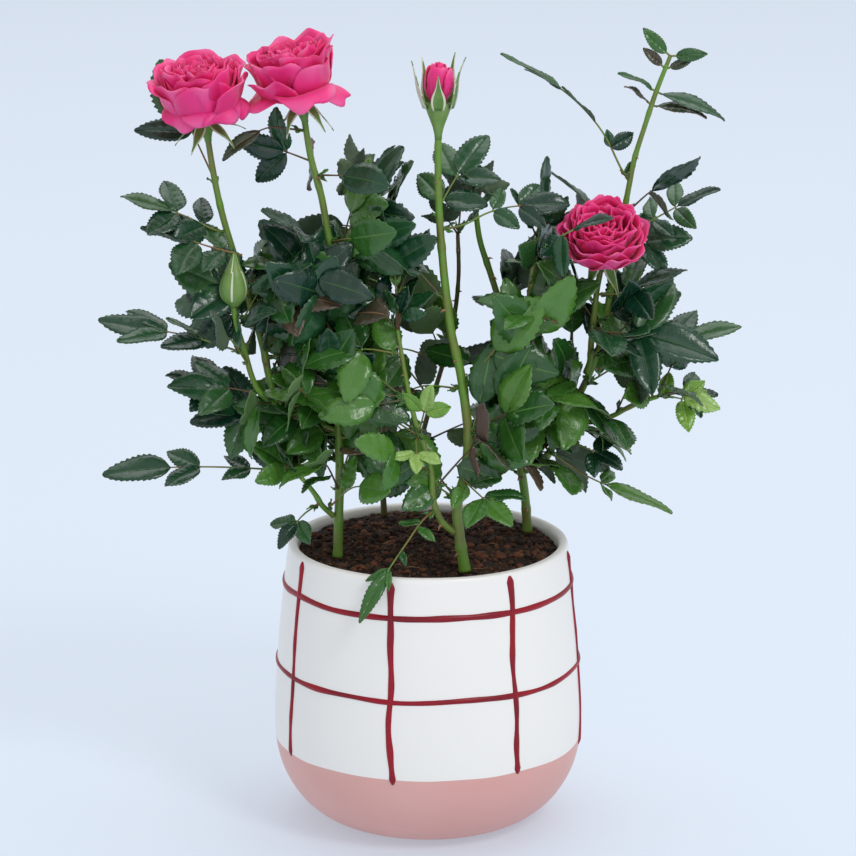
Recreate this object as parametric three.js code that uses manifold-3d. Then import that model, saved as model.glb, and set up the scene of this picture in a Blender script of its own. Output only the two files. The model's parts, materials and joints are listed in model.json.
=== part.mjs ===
// A potted miniature rose bush: a hand-decorated ceramic pot, the soil in it, five canes
// with their side boughs, three open blooms, two buds, and the foliage as single compound
// leaves round the outline and uneven masses inside. Millimetres, +Z up. The origin is the
// middle of the pot's flat underside, and the plant's best side looks along -Y.
import * as THREE from 'three';
import { mergeVertices } from 'three/addons/utils/BufferGeometryUtils.js';
import Module from 'manifold-3d';

const wasm = await Module();
wasm.setup();

// Driving dimensions.
const POT_HEIGHT = 114.5;
const POT_BELLY_RADIUS = 62.5;
const POT_BELLY_HEIGHT = 38;
const POT_FOOT_RADIUS = 31;
const POT_MOUTH_RADIUS = 52.3;
const POT_RIM_RADIUS = 56;
const POT_FLOOR = 8;
const POT_WALL = 5;
const FOOT_ROUNDNESS = 2;
const POT_SEGMENTS = 38;
const BLOOM_SEGMENTS = 14;
const BUD_SEGMENTS = 10;
const SOIL_LEVEL = 112.2;
const SOIL_SLOPE = 0.02;
const GAP = 0.35;
const CANE_SIDES = 7;
const BLADE_SIDES = 6;
const BLADE_STATIONS = 8;
const BLADE_THICKNESS = 3.2;
const MASS_COLUMNS = 11;
const MASS_ROWS = 6;

const COLOURS = {
  pot: 0xe6e9ec,
  soil: 0x3a2a20,
  cane: 0x55702f,
  bloom: 0xdc2f72,
  bud: 0x7ea651,
  leaf_dark: 0x24402f,
  leaf_mid: 0x35652c,
  leaf_pale: 0x7da34a,
  leaf_bronze: 0x6b5a50,
};

// Canes and boughs: their foot, their bends and their end, and the radius at each end.
// A cane stands on the soil. A bough leaves the limb that is named before its points.
const CANES = [
  ['cane_left', null, 1.9, 1.25, [[-36, -14], [-35.5, -14, 137], [-35, -13, 155], [-36, -11, 172],
    [-34, -9, 196], [-34, -7, 216], [-38, -5, 234], [-42, -3, 257], [-46, -2, 272], [-48.6, -2, 288.5]]],
  ['cane_centre', null, 2.2, 1.35, [[15, -33], [12.5, -32, 126], [11.5, -31, 138], [14, -28, 148],
    [16, -25, 158], [15, -21, 174], [12.5, -18, 191], [9, -16, 206], [7, -15, 222], [5, -13, 243],
    [4, -12, 263], [4, -12, 284.5]]],
  ['cane_right', null, 1.9, 1.1, [[41, 20], [40, 20, 125], [38, 19, 140], [36, 18, 156], [35, 17, 170],
    [33, 19, 190], [28, 21, 212], [21, 20, 234], [19, 18, 248]]],
  ['cane_back_left', null, 1.3, 0.8, [[-18, 42], [-19, 41, 135], [-18, 38, 160], [-17, 33, 188],
    [-17, 30, 208], [-20, 26, 232], [-25, 20, 254]]],
  ['cane_back_right', null, 1.2, 0.8, [[-5, 43], [-5, 42, 134], [0, 38, 158], [7, 33, 184],
    [12, 29, 210], [12, 25, 236]]],
];
const BOUGHS = [
  ['bough_left', 'cane_left', 1.6, 1.2, [[-36, -11, 163], [-47, -12, 168], [-57, -13, 173], [-62, -12, 183],
    [-66, -10, 201], [-70, -8, 214], [-77, -6, 236], [-81, -5, 250], [-84, -5, 265], [-86.4, -5, 281.5]]],
  ['bough_low_left', 'cane_left', 1.4, 0.9, [[-35.5, -14, 128], [-41, -17, 133], [-46, -18, 141],
    [-51, -18, 147]]],
  ['bough_centre_left', 'cane_centre', 1.4, 0.8, [[12.3, -32, 126], [6, -34, 132], [2.5, -35, 138],
    [2, -34, 148], [0, -32, 158], [-5, -28, 172], [-9, -23, 190], [-12, -19, 207]]],
  ['bough_centre_right', 'cane_centre', 1.6, 1.0, [[14.5, -27, 151], [20, -24, 156], [25, -20, 164],
    [30, -16, 175], [34, -12, 187], [38, -9, 205], [41, -7, 224], [43, -5, 241]]],
  ['bough_right', 'cane_right', 1.6, 0.9, [[38, 19, 138], [44, 18, 139], [48, 16, 146], [54, 13, 158],
    [60, 9, 172], [66.5, 6, 187], [71, 4, 207], [74, 3, 227], [79, 2, 258], [82, 1, 274],
    [86, 0, 287], [90, 0, 300], [93.5, 0, 309]]],
  ['bough_low_right', 'bough_right', 1.2, 0.9, [[56, 12, 163], [63, 9, 162], [73, 6, 165], [83, 3, 171],
    [92, 0, 175]]],
  ['bough_bloom_right', 'bough_right', 1.3, 1.15, [[64, 7, 182], [65, 1, 196], [66, -3, 209],
    [67, -4, 220], [68.5, -5.5, 229]]],
  ['bough_bud_left', 'bough_left', 1.2, 1.05, [[-56, -13, 172], [-64, -15, 177], [-69, -17, 186],
    [-72, -18, 197], [-75, -19, 208], [-76.4, -20, 216.5]]],
];

// Blooms and buds: the lower end of the hip, the way they face, length and largest radius.
const BLOOMS = [
  ['bloom_left', [-86.6, -5, 282], [-0.1, -0.12, 1], 32.5, 18.5],
  ['bloom_middle', [-49.2, -2, 289], [-0.13, -0.1, 1], 31.5, 17.2],
  ['bloom_right', [69.5, -6, 231.5], [-0.04, -0.57, 0.82], 27, 17.5],
];
const BUDS = [
  ['bud_opening', [4, -12, 285], [0, 0, 1], 27.5, 6.6],
  ['bud_closed', [-76.5, -20.2, 217], [0.05, 0, 1], 21, 5.7],
];

// Compound leaves round the outline: the foot of the stalk, the middle of the midrib, the
// tip, the full width over the leaflets, and the way the upper face looks.
const FRONT = [0, -0.9, 0.44];
const HALF = [0, -0.64, 0.77];
const UP = [0, -0.3, 0.95];
const SPRAYS = [
  ['leaf_behind_left_bloom', 'leaf_dark', [-84, 0, 262], [-91, 9, 276], [-107, 13, 309], 26, FRONT],
  ['leaf_left_crest', 'leaf_dark', [-81, -9, 243], [-93, -11, 250], [-120, -12, 260], 19, HALF],
  ['leaf_left_shoulder', 'leaf_dark', [-73, -16, 238], [-88, -20, 241], [-111, -22, 251], 17, HALF],
  ['leaf_bronze_arch', 'leaf_bronze', [-51, -5, 283], [-66, -9, 286], [-72, -12, 268], 8, UP],
  ['leaf_left_fan', 'leaf_dark', [-71, -14, 220], [-84, -17, 224], [-101, -19, 234], 22, FRONT],
  ['leaf_left_reach', 'leaf_dark', [-75, -12, 196], [-95, -15, 204], [-130, -17, 208], 19, HALF],
  ['leaf_left_under', 'leaf_dark', [-70, -10, 173], [-86, -13, 183], [-104, -15, 187], 16, HALF],
  ['leaf_low_left', 'leaf_dark', [-53, -18, 148.5], [-90, -20, 151.5], [-129, -22, 149.5], 17, HALF],
  ['leaf_rim_left', 'leaf_dark', [-44, -19, 135], [-52, -26, 131], [-57, -29, 119], 14, [-0.5, -0.7, 0.5]],
  ['leaf_over_rim', 'leaf_mid', [0, -37, 137], [-11, -51, 125], [-28, -64, 101], 8, [-0.3, -0.9, 0.3]],
  ['leaf_low_front', 'leaf_mid', [14, -34, 152], [19, -44, 146], [33, -58, 140], 27, HALF],
  ['leaf_pale_high', 'leaf_pale', [-3, -36, 170], [-2, -41, 178], [1, -45, 191], 23, FRONT],
  ['leaf_pale_low', 'leaf_pale', [-4, -36, 167], [-5, -46, 163], [-5, -54, 158], 24, HALF],
  ['leaf_low_right', 'leaf_mid', [47, -5, 156], [64, -8, 143], [99, -12, 135], 15, HALF],
  ['leaf_round_right', 'leaf_dark', [55, -3, 158], [66, -9, 155], [78, -14, 149], 18, FRONT],
  ['leaf_pale_right', 'leaf_pale', [93, 0, 175.5], [106, -2, 174], [117, -4, 172], 24, FRONT],
  ['leaf_right_reach', 'leaf_dark', [78, 5, 189], [92, 5, 195], [125.5, 2, 201], 17, HALF],
  ['leaf_right_droop', 'leaf_dark', [70, -6, 195], [84, -9, 209], [104, -11, 181], 18, [0.4, -0.5, 0.77]],
  ['leaf_right_high', 'leaf_dark', [82, 7, 241], [98, 7, 251], [115, 5, 260], 28, HALF],
  ['leaf_right_round', 'leaf_dark', [84, 6, 236], [94, 3, 238], [104.5, 1, 237.5], 12, FRONT],
  ['leaf_under_bloom', 'leaf_dark', [73, -3, 217], [86, -6, 223], [101, -8, 232], 13, HALF],
  ['leaf_tall_tip', 'leaf_pale', [94, 0, 310], [95, -1, 317], [96, -3, 326], 25, FRONT],
  ['leaf_tall_pair', 'leaf_dark', [76, -5, 306], [92, -6, 298], [114, -6, 287], 9, HALF],
  ['leaf_high_arch', 'leaf_dark', [78, 1, 262], [61, -1, 293], [28, -4, 312], 9, [0.5, -0.3, 0.8]],
  ['leaf_bloom_screen', 'leaf_dark', [45, -22, 240], [56, -33, 250], [73, -37, 257], 17, FRONT],
  ['leaf_top_right', 'leaf_mid', [12, -16, 246], [34, -14, 257], [57, -16, 252], 19, FRONT],
  ['leaf_top_centre', 'leaf_dark', [6, -8, 250], [10, 4, 266], [26, 9, 279], 29, HALF],
];

// Masses of leaves inside the crown: middle, half sizes and the seed of their lumps.
const MASSES = [
  ['mass_left_top', 'leaf_dark', [-43, 6, 268], [16, 18, 17], 1],
  ['mass_left_high', 'leaf_dark', [-57, -6, 236], [17, 26, 14], 2],
  ['mass_left_mid', 'leaf_dark', [-53, -6, 207], [19, 28, 16], 3],
  ['mass_left_low', 'leaf_mid', [-51, -4, 169], [21, 29, 20], 4],
  ['mass_centre_top', 'leaf_dark', [-13, 6, 259], [20, 21, 15], 5],
  ['mass_centre_high', 'leaf_dark', [-12, -10, 234], [19, 28, 14], 6],
  ['mass_centre_mid', 'leaf_mid', [-10, -6, 200], [22, 28, 16], 7],
  ['mass_centre_low', 'leaf_mid', [-13, -8, 160], [24, 30, 18], 8],
  ['mass_right_top', 'leaf_dark', [43, 5, 258], [15, 20, 15], 9],
  ['mass_right_mid', 'leaf_mid', [47, -6, 215], [24, 28, 16], 10],
  ['mass_right_low', 'leaf_mid', [47, -2, 174], [22, 27, 19], 11],
  ['mass_back_left', 'leaf_dark', [-40, 44, 200], [26, 21, 38], 12],
  ['mass_back_right', 'leaf_dark', [44, 46, 197], [25, 21, 36], 13],
];

const vector = (a) => new THREE.Vector3(a[0], a[1], a[2]);
const soilTop = (y) => SOIL_LEVEL + SOIL_SLOPE * y;

// A closed skin over rings of points, all with the same number of points.
function skin(rings) {
  const positions = [];
  const faces = [];
  const sides = rings[0].length;
  for (const ring of rings) {
    for (const p of ring) {
      positions.push(p.x, p.y, p.z);
    }
  }
  for (let i = 0; i < rings.length - 1; i += 1) {
    for (let j = 0; j < sides; j += 1) {
      const a = i * sides + j;
      const b = i * sides + (j + 1) % sides;
      faces.push(a, b, b + sides, a, b + sides, a + sides);
    }
  }
  const last = (rings.length - 1) * sides;
  for (let j = 1; j < sides - 1; j += 1) {
    faces.push(0, j + 1, j, last, last + j, last + j + 1);
  }
  const geometry = new THREE.BufferGeometry();
  geometry.setAttribute('position', new THREE.Float32BufferAttribute(positions, 3));
  geometry.setIndex(faces);
  return geometry;
}

// A ring of points round a centre: two half axes and how far each reaches.
function ring(centre, across, up, halfWidth, halfHeight, sides) {
  const points = [];
  for (let j = 0; j < sides; j += 1) {
    const angle = (2 * Math.PI * j) / sides;
    points.push(centre.clone()
      .addScaledVector(across, halfWidth * Math.cos(angle))
      .addScaledVector(up, halfHeight * Math.sin(angle)));
  }
  return points;
}

// A tapering limb through its bends. A cane's first ring is level, just over the soil.
function limb(points, startRadius, endRadius, grow) {
  const onSoil = points[0].length === 2;
  const foot = onSoil ? [points[0][0], points[0][1], soilTop(points[0][1]) + GAP - grow] : points[0];
  const curve = new THREE.CatmullRomCurve3([foot, ...points.slice(1)].map(vector));
  const stations = points.length + 1;
  const rings = [];
  let across = new THREE.Vector3(1, 0, 0);
  for (let i = 0; i <= stations; i += 1) {
    const t = i / stations;
    const along = i === 0 && onSoil ? new THREE.Vector3(0, 0, 1) : curve.getTangentAt(t);
    const up = new THREE.Vector3().crossVectors(along, across).normalize();
    across = new THREE.Vector3().crossVectors(up, along).normalize();
    const radius = startRadius + (endRadius - startRadius) * t + grow;
    const centre = curve.getPointAt(t);
    if (i === stations) {
      centre.addScaledVector(along, grow);
    }
    rings.push(ring(centre, across, up, radius, radius, CANE_SIDES));
  }
  return skin(rings);
}

// How wide a compound leaf is at each part of its length: a thin stalk, then the leaflets,
// drawn in between their pairs, then the end leaflet's point.
function leafWidth(t) {
  const body = Math.pow(Math.sin(Math.PI * Math.pow(0.04 + 0.93 * t, 0.85)), 0.75);
  const lobes = 0.9 + 0.1 * Math.cos(5 * Math.PI * t);
  return Math.max(0.08, body * lobes);
}

function blade(stalk, middle, tip, width, face, grow) {
  const curve = new THREE.CatmullRomCurve3([stalk, middle, tip].map(vector));
  const facing = vector(face).normalize();
  const rings = [];
  for (let i = 0; i <= BLADE_STATIONS; i += 1) {
    const t = i / BLADE_STATIONS;
    const along = curve.getTangentAt(t);
    const across = new THREE.Vector3().crossVectors(facing, along).normalize();
    const up = new THREE.Vector3().crossVectors(along, across).normalize();
    const centre = curve.getPointAt(t);
    if (i === 0) {
      centre.addScaledVector(along, -grow);
    }
    if (i === BLADE_STATIONS) {
      centre.addScaledVector(along, grow);
    }
    const halfWidth = 0.5 * width * leafWidth(t) + grow;
    const halfHeight = 0.5 * BLADE_THICKNESS * Math.sqrt(leafWidth(t)) + grow;
    rings.push(ring(centre, across, up, halfWidth, halfHeight, BLADE_SIDES));
  }
  return skin(rings);
}

// An uneven lump: a globe whose reach swells and shrinks in a few slow waves.
function lump(middle, half, seed, grow) {
  const centre = vector(middle);
  const reach = (theta, phi) => 1
    + 0.11 * Math.sin(3 * theta + 1.7 * seed) * Math.sin(phi)
    + 0.09 * Math.sin(2 * theta + 4 * phi + 2.3 * seed)
    + 0.07 * Math.cos(5 * theta - 3 * phi + 0.9 * seed) * Math.sin(phi);
  const rings = [];
  for (let i = 0; i <= MASS_ROWS; i += 1) {
    const phi = Math.PI * (0.06 + 0.88 * (i / MASS_ROWS));
    const points = [];
    for (let j = 0; j < MASS_COLUMNS; j += 1) {
      const theta = (2 * Math.PI * j) / MASS_COLUMNS;
      const r = reach(theta, phi);
      points.push(new THREE.Vector3(
        centre.x + (half[0] * r + grow) * Math.sin(phi) * Math.cos(theta),
        centre.y + (half[1] * r + grow) * Math.sin(phi) * Math.sin(theta),
        centre.z - (half[2] * (1 + 0.06 * Math.sin(seed)) + grow) * Math.cos(phi),
      ));
    }
    rings.push(points);
  }
  return skin(rings);
}

// A turned shape from its outline [radius, height] pairs, first and last on the axis.
function turned(outline, segments) {
  const geometry = new THREE.LatheGeometry(outline.map(([r, z]) => new THREE.Vector2(r, z)), segments);
  geometry.rotateX(Math.PI / 2);
  return geometry;
}

function stand(geometry, foot, axis) {
  const up = new THREE.Vector3(0, 0, 1);
  const turn = new THREE.Quaternion().setFromUnitVectors(up, vector(axis).normalize());
  geometry.applyQuaternion(turn);
  geometry.translate(foot[0], foot[1], foot[2]);
  return geometry;
}

// The pot's outer radius: round under the belly, then drawn in slowly up to the rim.
function potRadius(z) {
  if (z < POT_BELLY_HEIGHT) {
    const part = 1 - z / POT_BELLY_HEIGHT;
    const bulge = Math.pow(1 - Math.pow(part, FOOT_ROUNDNESS), 1 / FOOT_ROUNDNESS);
    return POT_FOOT_RADIUS + (POT_BELLY_RADIUS - POT_FOOT_RADIUS) * bulge;
  }
  const part = (z - POT_BELLY_HEIGHT) / (POT_HEIGHT - POT_BELLY_HEIGHT);
  return POT_BELLY_RADIUS - (POT_BELLY_RADIUS - POT_RIM_RADIUS - 0.4) * Math.pow(part, 1.7);
}

const potInside = (z) => Math.min(potRadius(z) - POT_WALL, POT_MOUTH_RADIUS + 0.05 * (POT_HEIGHT - z));

function potOutline() {
  const outline = [[0, 0], [POT_FOOT_RADIUS, 0]];
  for (const z of [2, 6, 13, 24, POT_BELLY_HEIGHT, 66, 100, 112]) {
    outline.push([potRadius(z), z]);
  }
  outline.push([POT_RIM_RADIUS - 0.6, POT_HEIGHT - 1.2]);
  outline.push([POT_RIM_RADIUS - 1.8, POT_HEIGHT]);
  outline.push([POT_MOUTH_RADIUS + 0.8, POT_HEIGHT - 0.6]);
  outline.push([POT_MOUTH_RADIUS, POT_HEIGHT - 2.5]);
  for (const z of [60, 18]) {
    outline.push([potInside(z), z]);
  }
  outline.push([potInside(18) - 8, POT_FLOOR]);
  outline.push([0, POT_FLOOR]);
  return outline;
}

// The soil fills the pot up to a top that slopes gently up to the back.
function soil(grow) {
  const outline = [[0, POT_FLOOR + GAP], [potInside(18) - 8.6, POT_FLOOR + GAP]];
  for (const z of [18, 60, SOIL_LEVEL - 2.5]) {
    outline.push([potInside(z) - GAP - 0.25, z]);
  }
  outline.push([POT_MOUTH_RADIUS - 3, SOIL_LEVEL + grow]);
  outline.push([0, SOIL_LEVEL + grow]);
  const geometry = turned(outline, POT_SEGMENTS / 2);
  const position = geometry.getAttribute('position');
  for (let i = 0; i < position.count; i += 1) {
    if (position.getZ(i) > SOIL_LEVEL - 4) {
      position.setZ(i, position.getZ(i) + SOIL_SLOPE * position.getY(i));
    }
  }
  return geometry;
}

// An open bloom on its hip: narrow neck, cup, and a top a little higher in the middle.
function bloomOutline(length, radius, grow) {
  const shape = [[0.1, 0], [0.17, 0.08], [0.2, 0.17], [0.55, 0.24], [0.88, 0.38], [1, 0.6], [0.97, 0.8],
    [0.8, 0.95], [0.4, 1]];
  const outline = shape.map(([r, z]) => [r * radius + grow, z * length]);
  return [[0, -grow], ...outline, [0, length + grow]];
}

function budOutline(length, radius, grow) {
  const shape = [[0.3, 0], [0.72, 0.14], [0.95, 0.28], [1, 0.42], [0.85, 0.62], [0.5, 0.84], [0.2, 1]];
  const outline = shape.map(([r, z]) => [r * radius + grow, z * length]);
  return [[0, -grow], ...outline, [0, length + grow]];
}

function toSolid(source) {
  const plain = source.clone();
  plain.deleteAttribute('normal');
  plain.deleteAttribute('uv');
  const geometry = mergeVertices(plain, 1e-3);
  return new wasm.Manifold(new wasm.Mesh({
    numProp: 3,
    vertProperties: new Float32Array(geometry.getAttribute('position').array),
    triVerts: new Uint32Array(geometry.getIndex().array),
  }));
}

function toGeometry(solid) {
  const mesh = solid.getMesh();
  const geometry = new THREE.BufferGeometry();
  geometry.setAttribute('position', new THREE.Float32BufferAttribute(mesh.vertProperties, 3));
  geometry.setIndex(new THREE.Uint32BufferAttribute(mesh.triVerts, 1));
  return geometry;
}

const largest = (solid) => solid.decompose()
  .reduce((best, piece) => (piece.volume() > best.volume() ? piece : best));

// Every piece that is already placed, a little swollen, so that later pieces keep clear.
const placed = [];
const bush = new THREE.Group();

function touches(a, b) {
  return [0, 1, 2].every((k) => a.min[k] <= b.max[k] && b.min[k] <= a.max[k]);
}

// make(grow) gives the piece's geometry, swollen by grow. The piece is cut clear of what
// is placed already, and then placed itself.
function place(name, colour, make, roughness = 0.6) {
  let solid = toSolid(make(0));
  const box = solid.boundingBox();
  for (const other of placed) {
    if (touches(box, other.boundingBox())) {
      solid = solid.subtract(other);
    }
  }
  const geometry = toGeometry(largest(solid));
  const material = new THREE.MeshStandardMaterial({ color: COLOURS[colour], roughness, metalness: 0 });
  const mesh = new THREE.Mesh(geometry, material);
  mesh.name = name;
  bush.add(mesh);
  placed.push(toSolid(make(GAP)));
}

const pot = new THREE.Mesh(
  turned(potOutline(), POT_SEGMENTS),
  new THREE.MeshStandardMaterial({ color: COLOURS.pot, roughness: 0.3, metalness: 0 }),
);
pot.name = 'pot';
bush.add(pot);
const potClearance = [[0, -GAP], [POT_BELLY_RADIUS + GAP, -GAP]];
for (const z of [POT_BELLY_HEIGHT, 66, 100, 112, POT_HEIGHT + GAP]) {
  potClearance.push([potRadius(z) + GAP, z]);
}
potClearance.push([POT_MOUTH_RADIUS - GAP, POT_HEIGHT + GAP], [POT_MOUTH_RADIUS - GAP, 100], [0, 100]);
place('soil', 'soil', soil, 0.95);
placed.push(toSolid(turned(potClearance, POT_SEGMENTS)));

for (const [name, , start, end, points] of CANES) {
  place(name, 'cane', (grow) => limb(points, start, end, grow));
}
for (const [name, , start, end, points] of BOUGHS) {
  place(name, 'cane', (grow) => limb(points, start, end, grow));
}
for (const [name, foot, axis, length, radius] of BLOOMS) {
  place(name, 'bloom', (grow) => stand(turned(bloomOutline(length, radius, grow), BLOOM_SEGMENTS), foot, axis));
}
for (const [name, foot, axis, length, radius] of BUDS) {
  place(name, 'bud', (grow) => stand(turned(budOutline(length, radius, grow), BUD_SEGMENTS), foot, axis));
}
for (const [name, colour, stalk, middle, tip, width, face] of SPRAYS) {
  place(name, colour, (grow) => blade(stalk, middle, tip, width, face, grow));
}
for (const [name, colour, middle, half, seed] of MASSES) {
  place(name, colour, (grow) => lump(middle, half, seed, grow));
}

export default bush;
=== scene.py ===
"""Looks of the potted miniature rose bush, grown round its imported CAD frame.

Lengths are metres, in the same frame as the CAD: origin under the pot, +Z up, and the
plant's best side looks along -Y. Every limb, compound leaf, mass of leaves, bloom and bud
is read back from its CAD node, and the fine shapes are grown on it by seeded rules.
"""
import json
import random
from math import cos, dist, exp, hypot, pi, radians, sin, sqrt

import bpy
import numpy as np
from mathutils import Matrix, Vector, noise
from mathutils.bvhtree import BVHTree


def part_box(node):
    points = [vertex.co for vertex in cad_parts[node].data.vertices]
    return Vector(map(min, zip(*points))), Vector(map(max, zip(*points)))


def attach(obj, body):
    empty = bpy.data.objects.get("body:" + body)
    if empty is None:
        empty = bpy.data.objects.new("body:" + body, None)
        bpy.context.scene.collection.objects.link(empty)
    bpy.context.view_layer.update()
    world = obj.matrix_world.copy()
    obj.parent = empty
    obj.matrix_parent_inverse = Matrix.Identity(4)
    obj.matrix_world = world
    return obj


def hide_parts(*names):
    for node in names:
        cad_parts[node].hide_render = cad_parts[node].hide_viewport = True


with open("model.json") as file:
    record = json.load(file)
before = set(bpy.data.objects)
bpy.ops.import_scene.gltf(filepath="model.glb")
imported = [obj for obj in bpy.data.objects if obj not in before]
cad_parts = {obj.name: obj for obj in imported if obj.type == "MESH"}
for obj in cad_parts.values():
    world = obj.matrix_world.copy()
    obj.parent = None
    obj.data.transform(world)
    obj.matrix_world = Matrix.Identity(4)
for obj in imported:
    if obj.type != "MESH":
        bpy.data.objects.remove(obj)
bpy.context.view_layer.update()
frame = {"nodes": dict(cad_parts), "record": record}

NODES = frame["nodes"]
SLOT_OF = {part["node"]: part["material_slot"] for part in frame["record"]["subparts"]}

norm = np.linalg.norm
MM = 0.001
UP = np.array([0.0, 0.0, 1.0])
ANY_TURN = 6.28

# Camera: a long lens, a little above the plant. A place further back looks higher from there
# by about SINK of its depth.
CAMERA_DISTANCE = 1.5
CAMERA_ELEVATION = radians(14.58)
CAMERA_AIM = Vector((0, 0, 0.162))
CAMERA_LENS = 157.25
TO_EYE = np.array([0.0, -cos(CAMERA_ELEVATION), sin(CAMERA_ELEVATION)])
EYE = CAMERA_AIM + CAMERA_DISTANCE * Vector(TO_EYE)
SINK = 0.26

# Leaves. The two ways to make a leaflet each hold the stations along it, the places of its
# columns from edge to edge, the number of its veins and their height.
FINE = (24, (-1, -0.7, -0.35, -0.045, 0, 0.045, 0.35, 0.7, 1), 6, 0.24 * MM)
PLAIN = (18, (-1, -0.55, -0.05, 0.05, 0.55, 1), 4.5, 0.36 * MM)
LEAF_THICKNESS = 0.26 * MM
RIB_WIDTH = 0.1
STALK_RADIUS = 0.5 * MM
PAIR_SPACING = 0.55
LEAN_SWING = 0.22

# Pot: heights of the two drawn rings, of the dipped base and of the foot of the lip, how far
# the lip rises, and where the upright lines stand, in degrees round from the pot's front.
UPPER_LINE = 99.75 * MM
LOWER_LINE = 66.3 * MM
DIP_LINE = 34.3 * MM
LIP_FOOT = 100.5 * MM
LIP_RISE = 1.1 * MM
POT_TURNS = 144
RING_STEPS = 180
UPRIGHT_STEPS = 70
UPRIGHT_TURNS = (-61.6, -13.9, 34.4, 80.5, 124, 168, 211, 255)

SOIL_TILT = 0.034
SOIL_RINGS = 44
SOIL_TURNS = 150
CRUMBS = 2600
FIBRES = 80


# ---- small helpers

def unit(v):
    v = np.asarray(v, float)
    return v / max(norm(v), 1e-12)


def turned(v, axis, angle):
    """v turned about a unit axis, by the right-hand rule."""
    c, s = cos(angle), sin(angle)
    return v * c + np.cross(axis, v) * s + axis * np.dot(axis, v) * (1 - c)


def square_to(v, along):
    return unit(v - along * np.dot(v, along))


def sideways(way, angle):
    """A direction square to way, at an angle round it."""
    return turned(square_to(np.array([1.0, 0.2, 0.1]), way), way, angle)


def angles_round(count):
    return [2 * pi * j / count for j in range(count)]


def wave(x, y=0.0, z=0.0, scale=1.0):
    return noise.noise(Vector((x, y, z)) * scale)


def smooth_line(points, step):
    """A Catmull-Rom curve through points, resampled about every step."""
    p = np.asarray(points, float)
    if len(p) == 2:
        p = np.array([p[0], p.mean(0), p[1]])
    ends = np.vstack([2 * p[0] - p[1], p, 2 * p[-1] - p[-2]])
    gaps = np.maximum(norm(np.diff(ends, axis=0), axis=1), 1e-9)
    out = []
    for i in range(len(p) - 1):
        a, b, c, d = ends[i:i + 4]
        leave = (c - a) * gaps[i + 1] / (gaps[i] + gaps[i + 1])
        arrive = (d - b) * gaps[i + 1] / (gaps[i + 1] + gaps[i + 2])
        count = max(2, int(gaps[i + 1] / step) + 1)
        for t in np.arange(count) / count:
            out.append(b + leave * t + (3 * (c - b) - 2 * leave - arrive) * t ** 2
                       + (leave + arrive - 2 * (c - b)) * t ** 3)
    out.append(p[-1])
    return np.array(out)


def arch(start, end, lift):
    """A stalk that rises out of start and comes down to end."""
    span = norm(end - start)
    middle = start + (end - start) * 0.5 + np.array([0, 0, lift * span])
    return smooth_line([start, middle, end], 2.5 * MM)


def summed(steps):
    """Running totals of steps, from zero."""
    return np.concatenate([[0], np.cumsum(steps)])


def lengths(line):
    return summed(norm(np.diff(line, axis=0), axis=1))


def along(line, distance):
    """The point at a distance along a line, and the direction there."""
    run = lengths(line)
    distance = min(max(distance, 0), run[-1])
    i = min(int(np.searchsorted(run, distance, side="right")), len(run) - 1)
    part = (distance - run[i - 1]) / max(run[i] - run[i - 1], 1e-9)
    return line[i - 1] + (line[i] - line[i - 1]) * part, unit(line[i] - line[i - 1])


def colour(r, g, b):
    """A display colour from 0 to 255 as the linear one that a shader takes."""
    return tuple((c / 255) ** 2.2 for c in (r, g, b)) + (1,)


# ---- meshes

def added(name, data):
    """A new object in the scene."""
    made = bpy.data.objects.new(name, data)
    bpy.context.scene.collection.objects.link(made)
    return made


class Skin:
    """Collects points and faces of many small things, each face with its paint's number."""

    def __init__(self):
        self.points, self.tones, self.faces, self.paints = [], [], [], []
        self.count = 0

    def add(self, points, faces, paint=0, tone=0.5):
        points = np.asarray(points, float).reshape(-1, 3)
        self.points.append(points)
        self.tones.append(np.broadcast_to(np.asarray(tone, float), (len(points),)))
        if isinstance(faces, np.ndarray):
            self.faces.extend((faces + self.count).tolist())
        else:
            self.faces.extend([self.count + i for i in face] for face in faces)
        self.paints.extend([paint] * len(faces) if np.isscalar(paint) else paint)
        self.count += len(points)

    def split(self, most):
        """Skins of up to about that many faces, cut between one small thing and the next."""
        parts, start = [], 0
        bounds = summed([len(p) for p in self.points])
        lowest = [min(face) for face in self.faces]
        cuts = np.searchsorted(lowest, bounds)
        while start < len(self.faces):
            first = int(np.searchsorted(bounds, lowest[start], side="right")) - 1
            last = int(np.searchsorted(cuts, start + most, side="right")) - 1
            part, shift, end = Skin(), int(bounds[first]), int(cuts[last])
            part.points, part.tones = self.points[first:last], self.tones[first:last]
            part.faces = [[i - shift for i in face] for face in self.faces[start:end]]
            part.paints = self.paints[start:end]
            parts.append(part)
            start = end
        return parts

    def piece(self, name, paints, slot, replaced=()):
        mesh = bpy.data.meshes.new(name)
        mesh.from_pydata(np.vstack(self.points).tolist(), [], self.faces)
        for paint in paints:
            mesh.materials.append(paint)
        mesh.polygons.foreach_set("material_index", self.paints[:len(self.faces)])
        mesh.polygons.foreach_set("use_smooth", [True] * len(self.faces))
        tone = mesh.attributes.new("tone", "FLOAT", "POINT")
        tone.data.foreach_set("value", np.concatenate(self.tones).astype(np.float32))
        mesh.update()
        made = added(name, mesh)
        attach(made, "root")
        if replaced:
            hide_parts(*replaced)


def sheet_faces(rows, columns, start=0, flip=False):
    faces = []
    for i in range(rows - 1):
        for a in range(start + i * columns, start + (i + 1) * columns - 1):
            face = [a, a + 1, a + 1 + columns, a + columns]
            faces.append(face[::-1] if flip else face)
    return faces


def ring_faces(rings, turns, first=0):
    """The quads that join each ring of points to the next."""
    faces = []
    for a in range(first, first + rings * turns):
        b = a + 1 if (a - first + 1) % turns else a + 1 - turns
        faces.append([a, b, b + turns, a + turns])
    return faces


SHEET_FACES = {}


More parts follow.
